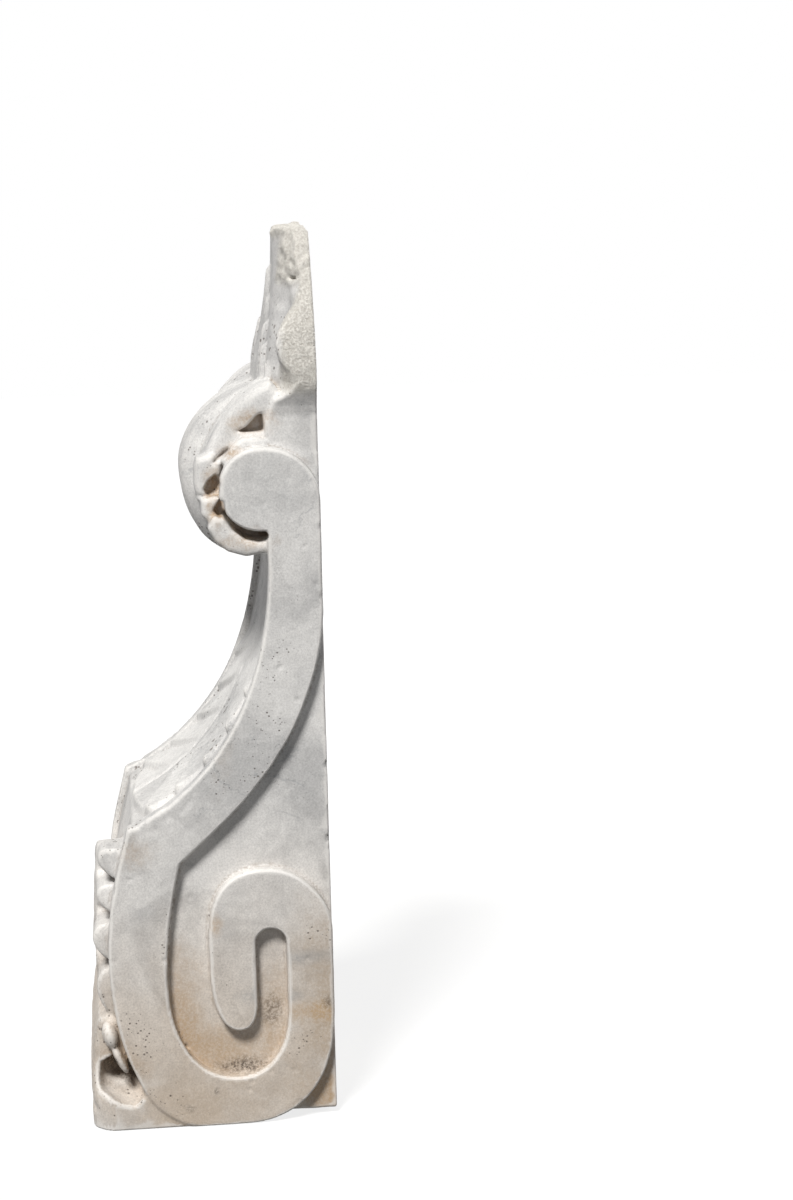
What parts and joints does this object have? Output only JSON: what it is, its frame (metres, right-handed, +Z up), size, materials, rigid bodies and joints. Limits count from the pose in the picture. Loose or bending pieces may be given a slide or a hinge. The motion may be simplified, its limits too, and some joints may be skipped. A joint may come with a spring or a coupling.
{
  "type": "stone corbel",
  "caption": "Carved marble scroll corbel with side bands ending in a big scroll and a small disc, a front leaf and a broken leaf top.",
  "frame": {"origin": "in the flat wall face, on its centre line, 300 mm above the base", "axes": "+Z up towards the leaf tip, +Y into the wall that the back face meets, X across the width"},
  "size_m": [0.236, 0.225, 0.808],
  "materials": {
    "marble": "weathered white marble, honed and worn, with grey veins and brown stains"
  },
  "bodies": {
    "root": {"corbel": "marble"}
  },
  "joints": []
}
